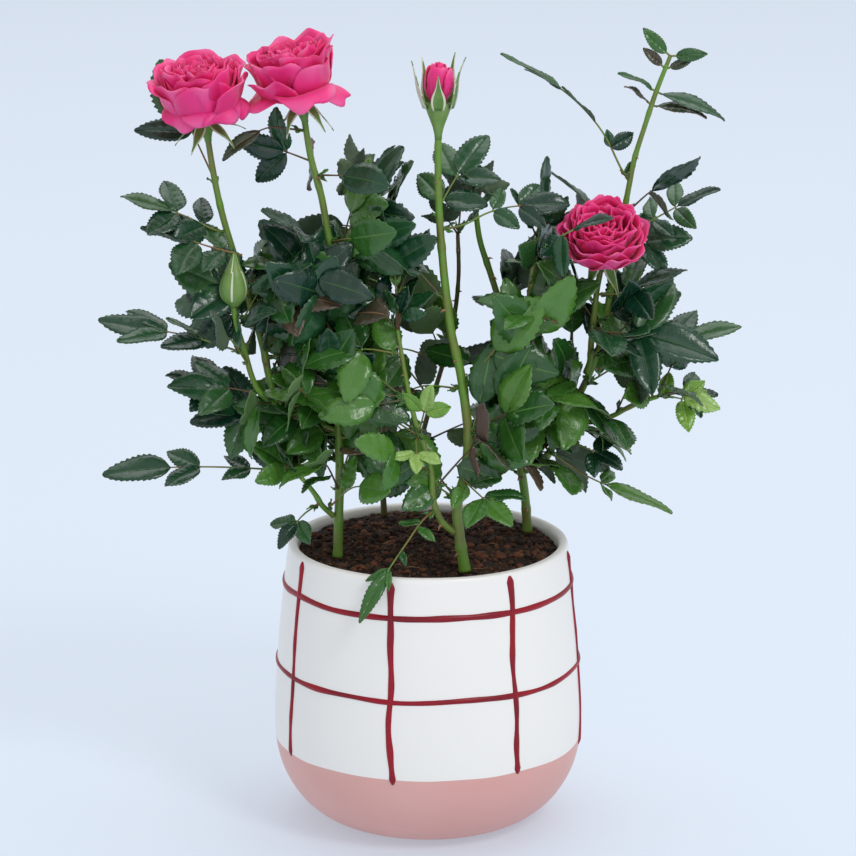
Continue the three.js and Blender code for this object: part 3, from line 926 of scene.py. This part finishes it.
# Petal colours by tone, from a petal's foot to its rim. The deep crimson of the low tones is partly the
# petal's own deeper colour and partly painted shade of the bloom's hollow heart.
PETAL_RAMP = [(0.0, (140, 4, 56)), (0.35, (208, 18, 98)), (0.7, (236, 44, 127)),
              (1.0, (248, 116, 172))]
PETAL = material("petal", (226, 45, 115), 0.5, 0.15, 1400, rough_swing=0.08, subsurface=0.25,
                 tone_ramp=PETAL_RAMP, sheen=0.15)
HIP = material("hip", (98, 138, 62), 0.42, 0.2, 900, (120, 150, 80), 150, 0.08)
SEPAL_OUT = material("sepal_outside", (88, 128, 56), 0.5, 0.3, 900, (112, 140, 70), 200)
SEPAL_IN = material("sepal_inside", (196, 208, 176), 0.75, 0.4, 1500, sheen=0.3)
SEPAL_EDGE = material("sepal_edge", (214, 214, 190), 0.7, 0.2, 900)
BLOOM_PAINTS = [PETAL, HIP, SEPAL_OUT, SEPAL_IN, SEPAL_EDGE]
HIP_PAINT, OUTSIDE, INSIDE, EDGE = 1, 2, 3, 4
SEPAL_ROW = [EDGE, OUTSIDE, OUTSIDE, EDGE]
PETAL_THICKNESS = 0.4 * MM
SEPAL_THICKNESS = 0.35 * MM
PETAL_STATIONS = 60

# How far the loose outer petals of a bloom stand out past its solid, and the bend past which a
# petal hangs.
FULLNESS = {"bloom_left": 1.05, "bloom_middle": 1.1}
HANGING = radians(-60)


def flower_frame(name, stem):
    """A bloom's foot, its axis and two square directions, its length and its radius."""
    points = node_points(name)
    foot = stem[-1]
    middle = (points.min(0) + points.max(0)) / 2
    axis = unit(middle - foot)
    away = points - foot
    length = (away @ axis).max()
    flat = away - np.outer(away @ axis, axis)
    radius = FULLNESS.get(name, 1) * np.percentile(norm(flat, axis=1), 97)
    side = square_to(np.array([1.0, 0.0, 0.0]), axis)
    return foot, axis, side, np.cross(axis, side), length, radius


def petal(skin, place, turn, wall, height, half_width, rng, start=0.2, slope=25, end=60, ruffle=0.04,
          tones=(0.1, 0.85), rows=13, columns=13):
    """One petal. It leaves the hip at a slope, stands up as a wall and bends out at its rim.

    wall, half_width and ruffle are parts of the bloom's radius, height and start of its
    length, and turn, slope and end are degrees.
    """
    foot, axis, side, other, length, radius = place
    root = 0.06 * radius
    slope, end = radians(slope), radians(end)
    floor_run = max(wall * radius - root, 0) / cos(slope)
    wall_run = max((height - start) * length - floor_run * sin(slope), 0.12 * radius)
    total = floor_run + wall_run
    s = np.linspace(0, total, PETAL_STATIONS)
    stand = np.clip((s - 0.55 * floor_run) / (0.9 * floor_run + 1e-9), 0, 1)
    heading = slope + (radians(91) - slope) * stand * stand * (3 - 2 * stand)
    late = 0.7 if end < HANGING else 1.6
    heading -= (radians(90) - end) * np.clip((s / total - 0.55) / 0.45, 0, 1) ** late
    r_line = root + summed(np.cos(heading[:-1])) * total / (PETAL_STATIONS - 1)
    z_line = start * length + summed(np.sin(heading[:-1])) * total / (PETAL_STATIONS - 1)
    u = np.linspace(-1, 1, columns)
    p1, p2, p3 = (rng.uniform(0, ANY_TURN) for _ in range(3))
    notch = rng.uniform(-0.03, 0.07)
    grid = np.empty((rows, columns, 3))
    tone = np.empty((rows, columns))
    turn = radians(turn)
    for i, v in enumerate(np.linspace(0, 1, rows)):
        reach = v * (1 - 0.26 * np.abs(u) ** 3.2 - notch * np.exp(-(u / 0.25) ** 2))
        r = np.interp(reach * total, s, r_line)
        z = np.interp(reach * total, s, z_line)
        broad = half_width * radius * (0.3 + 0.7 * sin(min(1, v / 0.72) * pi / 2))
        angle = turn + u * broad / np.maximum(r, 0.45 * wall * radius + 0.05 * radius)
        wave_out = ruffle * radius * v ** 2 * (np.sin(3.1 * u + p1) + 0.6 * np.sin(7.7 * u + p2) * v)
        r = np.maximum(r + wave_out, 0.01 * radius)
        z = z + ruffle * radius * v ** 3 * (0.7 * np.sin(4.3 * u + p3) + 0.35 * np.sin(8 * u + p1))
        grid[i] = (foot + np.outer(z, axis) + np.outer(r * np.cos(angle), side)
                   + np.outer(r * np.sin(angle), other))
        # A petal's tone rises from its foot to its rim, so its foot takes the dark end of the ramp: partly
        # the petal's own colour, partly painted shade.
        tone[i] = tones[0] + (tones[1] - tones[0]) * v ** 1.3 + 0.1 * np.sin(5 * u + p2) * v
    thin_sheet(skin, grid, PETAL_THICKNESS, tone=np.clip(tone, 0, 1))


def sepal(skin, start, way, face, length, width, rng, bend):
    """A long narrow sepal with a pale inside and a pale edge."""
    rows = 11
    way, face = unit(way), square_to(face, unit(way))
    side = np.cross(way, face)
    u = np.linspace(0, 1, rows)
    half = width / 2 * (1 - u) ** 0.75 * (0.75 + 0.6 * np.sin(pi * np.minimum(1, u * 1.5)))
    half = np.maximum(half, 0.1 * MM)
    angles = bend * u + 0.1 * np.sin(6 * u + rng.uniform(0, 6))
    run, drop = (summed(part(angles[:-1])) * length / (rows - 1) for part in (np.cos, np.sin))
    columns = (-1, -0.72, 0, 0.72, 1)
    grid = np.empty((rows, len(columns), 3))
    for j, s in enumerate(columns):
        dip = 0.18 * np.abs(half * s)
        grid[:, j] = (start + np.outer(run, way) - np.outer(drop, face) - np.outer(dip, face)
                      + np.outer(half * s, side))
    # thin_sheet repeats this list for each row once more, so the sepals' paints run on past their
    # own faces: most sepals have the row's pattern on both sides, and one is pale all over.
    thin_sheet(skin, grid[:, ::-1], SEPAL_THICKNESS, SEPAL_ROW * (rows - 1), INSIDE, EDGE)


URN = [(0, -0.3), (0.27, -0.28), (0.3, -0.1), (0.42, 0.15), (0.64, 0.42), (0.84, 0.66), (0.97, 0.86),
       (1, 1), (0, 1.02)]


def on_axis(place, points):
    """Points of a turned shape, stood on the flower's foot and along its axis."""
    foot, axis, side, other, _, _ = place
    return foot + np.outer(points[:, 0], side) + np.outer(points[:, 1], other) + np.outer(points[:, 2], axis)


def hip(skin, place, height, radius):
    points, faces = lathe([(r * radius, z * height) for r, z in URN], 20)
    skin.add(on_axis(place, points), faces, HIP_PAINT)


# Outer petals as (turn, wall, height, half width, slope, end), then the rings inside them as
# (count, wall, height, half width, end).
SKIRT = (38, -84)
OUTER_PETALS = {
    "bloom_left": [
        (-116, 0.84, 0.47, 0.62, *SKIRT), (-66, 0.88, 0.47, 0.66, *SKIRT), (-10, 0.9, 0.52, 0.5, *SKIRT),
        (182, 0.72, 0.8, 0.62, 25, 2), (-128, 0.72, 0.76, 0.62, 24, 52), (-78, 0.72, 0.74, 0.66, 24, 64),
        (-24, 0.78, 0.74, 0.6, 22, 30), (32, 0.76, 0.82, 0.66, 25, 40), (92, 0.78, 0.88, 0.7, 25, 55),
        (140, 0.76, 0.86, 0.62, 25, 45)],
    "bloom_middle": [
        (-72, 0.84, 0.7, 0.72, 26, -80), (-20, 0.8, 0.5, 0.5, 20, -74), (192, 0.84, 0.6, 0.62, 24, -62),
        (-128, 0.76, 0.66, 0.56, 20, 10), (8, 0.66, 0.96, 0.7, 28, 42), (60, 0.72, 0.9, 0.66, 25, 50),
        (115, 0.74, 0.86, 0.66, 25, 55), (165, 0.74, 0.74, 0.6, 22, 40), (-45, 0.7, 0.72, 0.6, 25, 60)],
    "bloom_right": [(k * 45 + 20, 0.8, 0.64, 0.56, 22, 34) for k in range(8)]
                   + [(k * 45, 0.72, 0.72, 0.52, 25, 48) for k in range(8)],
}
INNER_RINGS = [(7, 0.68, 0.84, 0.5, 62), (7, 0.58, 0.87, 0.44, 66), (7, 0.48, 0.88, 0.38, 68),
               (6, 0.38, 0.88, 0.34, 72), (6, 0.28, 0.87, 0.28, 76), (5, 0.18, 0.86, 0.2, 80),
               (3, 0.09, 0.85, 0.12, 86)]


def bloom(skin, place, rng, name):
    foot, axis, side, other, length, radius = place
    hip(skin, place, 0.24 * length, 0.26 * radius)
    for turn, wall, height, half_width, slope, end in OUTER_PETALS[name]:
        petal(skin, place, turn, wall, height, half_width, rng, 0.18, slope, end, rng.uniform(0.05, 0.075),
              (0.35, 0.8), 16, 17)
    # The inner rings start at the darkest tone and end darker than the outer petals: partly the petals' own
    # deeper colour, partly painted shade of the bloom's heart.
    for k, (count, wall, height, half_width, end) in enumerate(INNER_RINGS):
        for i in range(count):
            turn = 360 * (i + 0.5 * k + rng.uniform(-0.22, 0.22)) / count
            petal(skin, place, turn, wall * rng.uniform(0.93, 1.07), height * rng.uniform(0.95, 1.03),
                  half_width * rng.uniform(0.85, 1.15), rng, 0.22, 30, end + rng.uniform(-14, 14),
                  rng.uniform(0.045, 0.08), (0.0, rng.uniform(0.45, 0.85)))
    start = foot + axis * 0.19 * length
    for k in range(5):
        turn = 2 * pi * (k + 0.3) / 5 + rng.uniform(-0.2, 0.2)
        out = side * cos(turn) + other * sin(turn)
        sepal(skin, start + out * 0.15 * radius, out - axis * rng.uniform(0.4, 1.4), axis,
              rng.uniform(12, 18) * MM, 4.6 * MM, rng, rng.uniform(0.1, 0.7))


def opening_bud(skin, place, rng, name):
    """Furled petals in an urn-shaped hip, with five sepals that still hold the petals."""
    foot, axis, side, other, length, radius = place
    hip(skin, place, 0.4 * length, 0.78 * radius)
    for k in range(7):
        petal(skin, place, 137.5 * k, 0.9 - 0.1 * k, 0.9 + 0.014 * k, 1.05 - 0.1 * k, rng, 0.3, 55, 108, 0.03,
              (0.3, 0.75))
    for k in range(5):
        turn = 2 * pi * k / 5 - pi / 2
        out = side * cos(turn) + other * sin(turn)
        sepal(skin, foot + axis * 0.33 * length + out * 0.8 * radius, axis + out * 0.2, -out,
              (0.52 if k == 0 else rng.uniform(0.68, 0.8)) * length, 5.6 * MM, rng, 0.2)


def closed_bud(skin, place, rng, name):
    """A shut bud: five sepals pressed together over it, meeting in pale seams."""
    length, radius = place[4:]
    turns = 40
    shape = [(0, 0), (0.3, 0), (0.55, 0.06), (0.85, 0.16), (1, 0.3), (0.97, 0.42), (0.8, 0.56), (0.52, 0.72),
             (0.3, 0.86), (0.16, 0.96), (0, 1)]

    def off_seam(angle, z):
        return abs(sin(2.5 * angle + 0.6 * z))

    def seam(k, r, z, angle):
        return (-0.09 * r * (1 - off_seam(angle, z / length)) ** 3, 0)

    outline = [(max(r, 0) * radius, z * length) for r, z in smooth_outline(shape, 0.05)]
    points, faces = lathe(outline, turns, seam)
    paints = []
    for a in (face[0] for face in faces):
        z = points[a, 2] / length
        pale = off_seam(2 * pi * (a % turns + 0.5) / turns, z) < 0.2 and z > 0.12
        paints.append(EDGE if pale else HIP_PAINT)
    skin.add(on_axis(place, points), faces, paints)


def grow_flower(name, stem, kind):
    skin = Skin()
    kind(skin, flower_frame(name, LIMBS[stem][0]), random.Random(name), name)
    skin.piece(name + ("_petals" if kind is bloom else "_flower"), BLOOM_PAINTS, SLOT_OF[name], (name,))


grow_flower("bloom_left", "bough_left", bloom)
grow_flower("bloom_middle", "cane_left", bloom)
grow_flower("bloom_right", "bough_bloom_right", bloom)
grow_flower("bud_opening", "cane_centre", opening_bud)
grow_flower("bud_closed", "bough_bud_left", closed_bud)


# ---- leaves as pieces

MOST_FACES = 85000
for tint, skin in LEAVES.items():
    solids = [n for n in named("leaf_", "mass_") if SLOT_OF[n] == tint]
    for number, part in enumerate(skin.split(MOST_FACES), 1):
        part.piece(f"{tint}_sprays_{number}", TINTS[tint], tint, solids if number == 1 else ())
STALKS.piece("leaf_stalks_and_twigs", STALK_PAINTS, "cane_brown")

# ---- pot

GLAZE = material("pot_glaze_white", (243, 240, 234), 0.34, 0.06, 60, rough_swing=0.05, coat=0.15)
DIP = material("pot_glaze_pink", (224, 170, 162), 0.42, 0.08, 80, (218, 162, 154), 12, 0.05)
SLIP = material("pot_slip_maroon", (150, 8, 34), 0.36, 0.15, 300, (120, 10, 30), 40, 0.06,
                shine=0.35)


def spaced(points):
    kept = points[:1]
    for p in points[1:]:
        if dist(p, kept[-1]) > 0.3 * MM:
            kept.append(p)
    return kept


def pot_outline():
    """The pot's CAD outline, outside from the foot up, over the lip and down inside."""
    points = node_points("pot")
    r = np.hypot(points[:, 0], points[:, 1])
    rings = np.unique(np.round(np.column_stack([r, points[:, 2]]), 5), axis=0)
    tree = node_tree("pot")
    reach = r.max() + 0.05
    outside, inside = [], []
    for radius, z in rings:
        if radius < 1 * MM:
            continue
        hit = tree.ray_cast(Vector((0, -reach, z + 1e-5)), Vector((0, 1, 0)))[0]
        seen = reach if hit is None else abs(hit.y)
        (outside if hit is None or radius > 0.975 * seen else inside).append((radius, z))
    outside.sort(key=lambda p: p[1])
    inside.sort(key=lambda p: -p[1])
    return spaced(outside), spaced(inside)


outer, inner = pot_outline()
CAD_POT_TOP = max(z for _, z in outer)


def raised(outline):
    """The outline with its top lifted a little towards the lip's crest."""
    return [(r, z + LIP_RISE * max(0, z - LIP_FOOT) / (CAD_POT_TOP - LIP_FOOT)) for r, z in outline]


outer, inner = raised(outer), raised(inner)
POT_TOP = max(z for _, z in outer)
wall, crest = outer[-3], outer[-1]
outer[-2:] = [(wall[0] - 0.12 * MM, wall[1] + 0.9 * MM), (wall[0] - 0.5 * MM, crest[1] - 0.65 * MM),
              (wall[0] - 1.3 * MM, crest[1] - 0.1 * MM), crest]
FINE_OUTER = smooth_outline(outer, 2 * MM)


def outer_radius(z):
    return float(np.interp(z, [p[1] for p in FINE_OUTER], [p[0] for p in FINE_OUTER]))


def wobble(angle, z):
    return 0.18 * MM * wave(2 * cos(angle), 2 * sin(angle), z * 30)


def dip_edge(angle):
    return DIP_LINE + 0.5 * MM * wave(3 * cos(angle), 3 * sin(angle), 5)


def grow_pot():
    skin = Skin()
    above = [p for p in FINE_OUTER if p[1] > DIP_LINE + 1.2 * MM]
    below = [p for p in FINE_OUTER if p[1] < DIP_LINE - 1.2 * MM]
    edge = (outer_radius(DIP_LINE), DIP_LINE)
    lip = smooth_outline([outer[-1], *inner], 1.5 * MM)
    outline = [(0, 0), *below, edge, *above, *lip[1:], (0, inner[-1][1])]
    edge_row = 1 + len(below)

    def shift(k, r, z, angle):
        if r == 0 or z < 0.3 * MM:
            return (0, 0)
        if k == edge_row:
            dz = dip_edge(angle) - z
            return (wobble(angle, z) + outer_radius(z + dz) - r, dz)
        return (wobble(angle, z), 0)

    points, faces = lathe(outline, POT_TURNS, shift)
    skin.add(points, faces, [int(face[0] // POT_TURNS < edge_row) for face in faces])
    return skin


def on_pot(angle, z, out=0.0):
    r = outer_radius(z) + wobble(angle, z) + out
    return np.array([r * sin(angle), -r * cos(angle), z])


def slip_line(skin, path, widths, closed=False):
    """A raised line of slip: a low dome drawn along a path of (angle, height) on the pot."""
    profile = [(-1, -0.25), (-0.8, 0.35), (-0.4, 0.85), (0, 1), (0.4, 0.85), (0.8, 0.35), (1, -0.25)]
    points = []
    last = len(path) - 1
    for k, ((angle, z), width) in enumerate(zip(path, widths)):
        here = on_pot(angle, z)
        ahead = path[(k + 1) % len(path) if closed else min(k + 1, last)]
        behind = path[k - 1 if closed else max(k - 1, 0)]
        way = unit(on_pot(*ahead) - on_pot(*behind))
        out = square_to(on_pot(angle, z, 1 * MM) - here, way)
        side = np.cross(out, way)
        for s, h in profile:
            points.append(here + side * s * width / 2 + out * h * 0.27 * width)
    n = len(profile)
    faces = sheet_faces(len(path), n, flip=True)
    if closed:
        faces += [[last * n + j, j, j + 1, last * n + j + 1] for j in range(n - 1)]
    else:
        faces += [list(range(n)), list(range(last * n, last * n + n))[::-1]]
    skin.add(points, faces, 2)


def grow_lines(skin):
    rng = random.Random("slip")
    for height, width in ((UPPER_LINE, 2.6 * MM), (LOWER_LINE, 2.4 * MM)):
        seed = rng.uniform(0, 20)
        path, widths = [], []
        for angle in angles_round(RING_STEPS):
            lift = 0.9 * MM * wave(1.9 * cos(angle) + seed, 1.9 * sin(angle), 0)
            path.append((angle, height + lift))
            widths.append(width * (1 + 0.3 * wave(5 * cos(angle), 5 * sin(angle), seed)))
        slip_line(skin, path, widths, True)
    for turn in UPRIGHT_TURNS:
        top = POT_TOP - rng.uniform(1.4, 2.6) * MM
        bottom = DIP_LINE - rng.uniform(0.5, 2.5) * MM
        seed = rng.uniform(0, 20)
        lean = rng.uniform(-1.4, 1.4)
        path, widths = [], []
        for t in np.arange(UPRIGHT_STEPS + 1) / UPRIGHT_STEPS:
            angle = radians(turn + lean * (t - 0.5) + 1.3 * wave(seed, 3.5 * t))
            path.append((angle, top + (bottom - top) * t))
            end = min(1, 34 * min(t, 1 - t)) ** 0.5
            blob = 1 + 0.6 * exp(-(t / 0.08) ** 2) + 0.45 * exp(-((1 - t) / 0.05) ** 2)
            widths.append(2.6 * MM * max(0.3, end) * blob * (1 + 0.35 * wave(seed + 7, 9 * t)))
        slip_line(skin, path, widths)


pot_skin = grow_pot()
grow_lines(pot_skin)
pot_skin.piece("pot_glazed", [GLAZE, DIP, SLIP], "pot_glaze", ("pot",))

# ---- soil

SOIL_PAINTS = [
    material("soil_dark", (58, 42, 32), 0.95, 1.0, 700, (30, 21, 16), 200),
    material("soil_bark", (112, 66, 42), 0.85, 0.8, 900, (72, 44, 30), 260),
    material("soil_fibre", (150, 112, 80), 0.8, 0.4, 900, (104, 74, 52), 260),
    material("soil_crumb", (84, 60, 44), 0.95, 1.0, 900, (42, 30, 22), 260),
]


CRUMB_POINTS = [(0, 0, 1), (0.9, 0, 0.3), (0.28, 0.85, 0.3), (-0.72, 0.53, 0.3), (-0.72, -0.53, 0.3),
                (0.28, -0.85, 0.3), (0.72, 0.53, -0.4), (-0.28, 0.85, -0.4), (-0.9, 0, -0.4),
                (-0.28, -0.85, -0.4), (0.72, -0.53, -0.4), (0, 0, -0.9)]
CRUMB_FACES = []
for a, b in zip((1, 2, 3, 4, 5), (2, 3, 4, 5, 1)):
    CRUMB_FACES += [(0, a, b), (a, a + 5, b), (a + 5, b + 5, b), (11, b + 5, a + 5)]


def grow_soil():
    rng = random.Random("soil")
    low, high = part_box("soil")
    reach = min(p[0] for p in inner if p[1] > 0.9 * POT_TOP) - 0.2 * MM
    skin = Skin()

    def surface(x, y):
        r = hypot(x, y) / reach
        z = SOIL_TILT * y + high.z - 2.5 * MM
        z += 1.3 * MM * wave(x * 60, y * 60, 3) + 0.8 * MM * wave(x * 190, y * 190, 9)
        z += 0.45 * MM * wave(x * 520, y * 520, 14)
        return z + 1.6 * MM * (1 - r * r)

    def anywhere(part):
        spin, far = rng.uniform(0, 2 * pi), reach * sqrt(rng.random()) * part
        return far * cos(spin), far * sin(spin)

    points = [(0, 0, surface(0, 0))]
    for i in range(1, SOIL_RINGS + 1):
        for angle in angles_round(SOIL_TURNS):
            r = reach * i / SOIL_RINGS
            x, y = r * cos(angle), r * sin(angle)
            points.append((x, y, surface(x, y)))
    under = len(points)
    points += [(reach * cos(a), reach * sin(a), low.z + 90 * MM) for a in angles_round(SOIL_TURNS)]
    faces = [[0, 1 + j, 1 + (j + 1) % SOIL_TURNS] for j in range(SOIL_TURNS)]
    faces += [[a, d, c, b] for a, b, c, d in ring_faces(SOIL_RINGS, SOIL_TURNS, 1)]
    skin.add(points, faces + [list(range(under, under + SOIL_TURNS))[::-1]])
    for _ in range(CRUMBS):
        x, y = anywhere(0.985)
        crumb(skin, np.array([x, y, surface(x, y)]), rng)
    for _ in range(FIBRES):
        fibre(skin, surface, *anywhere(0.9), reach, rng)
    skin.piece("soil_peat_mix", SOIL_PAINTS, "soil_peat", ("soil",))


def crumb(skin, at, rng):
    size = rng.choice((0.5, 0.6, 0.8, 1.0, 1.3, 1.8)) * rng.uniform(0.6, 1.3) * MM
    stretch = np.array([rng.uniform(0.6, 1.8), rng.uniform(0.5, 1.1), rng.uniform(0.35, 0.8)])
    points = np.array(CRUMB_POINTS) * stretch * size
    points *= 1 + 0.25 * np.array([[rng.uniform(-1, 1)] for _ in CRUMB_POINTS])
    spin, tilt = rng.uniform(0, ANY_TURN), rng.uniform(-0.5, 0.5)
    axis = unit([cos(spin), sin(spin), 0])
    points = np.array([turned(turned(p, UP, spin), axis, tilt) for p in points])
    skin.add(points + at + UP * 0.25 * size, CRUMB_FACES, rng.choice((0, 0, 1, 1, 3, 3, 3)))


def fibre(skin, surface, x, y, reach, rng):
    heading = rng.uniform(0, 2 * pi)
    line = []
    for k in range(6):
        if hypot(x, y) > 0.96 * reach:
            break
        line.append((x, y, surface(x, y) + rng.uniform(0.2, 0.9) * MM))
        x += 1.5 * MM * cos(heading)
        y += 1.5 * MM * sin(heading)
        heading += rng.uniform(-0.5, 0.5)
    if len(line) > 2:
        tube(skin, line, rng.uniform(0.12, 0.3) * MM, 4, rng.choice((1, 2, 2)))


grow_soil()

# ---- floor, light and camera

def stage():
    mesh = bpy.data.meshes.new("floor")
    half = 20
    mesh.from_pydata([(-half, -half, 0), (half, -half, 0), (half, half, 0), (-half, half, 0)], [],
                     [(0, 1, 2, 3)])
    white = material("floor_white", (170, 178, 188), 0.9, 0.02, 40)
    glow = white.node_tree.nodes["Principled BSDF"].inputs
    glow["Emission Color"].default_value = colour(224, 234, 247)
    glow["Emission Strength"].default_value = 0.4
    mesh.materials.append(white)
    added("floor", mesh)
    world = bpy.data.worlds.new("studio")
    world.use_nodes = True
    sky = world.node_tree.nodes["Background"].inputs
    sky["Color"].default_value = colour(240, 243, 249)
    sky["Strength"].default_value = 0.74
    bpy.context.scene.world = world


def aimed(name, data, place, way):
    """A new lamp or camera at a place, looking along way."""
    made = added(name, data)
    made.location = place
    made.rotation_euler = way.to_track_quat("-Z", "Y").to_euler()
    return made


def area_light(name, place, size, power, aim=(0, 0, 0.16)):
    data = bpy.data.lights.new(name, "AREA")
    data.shape = "DISK"
    data.size = size
    data.energy = power
    aimed(name, data, place, Vector(aim) - Vector(place))


def camera():
    data = bpy.data.cameras.new("camera")
    data.lens = CAMERA_LENS
    data.sensor_width = 36
    data.clip_end = 100
    bpy.context.scene.camera = aimed("camera", data, EYE, -Vector(TO_EYE))


stage()
area_light("key", (0.9, -1.2, 1.5), 0.6, 11)
area_light("overhead", (0.2, 0.9, 2.6), 3, 28)
area_light("front_fill", (-0.3, -2.6, 0.35), 1.6, 4, (0, 0, 0.06))
camera()
bpy.context.scene.view_settings.view_transform = "Standard"
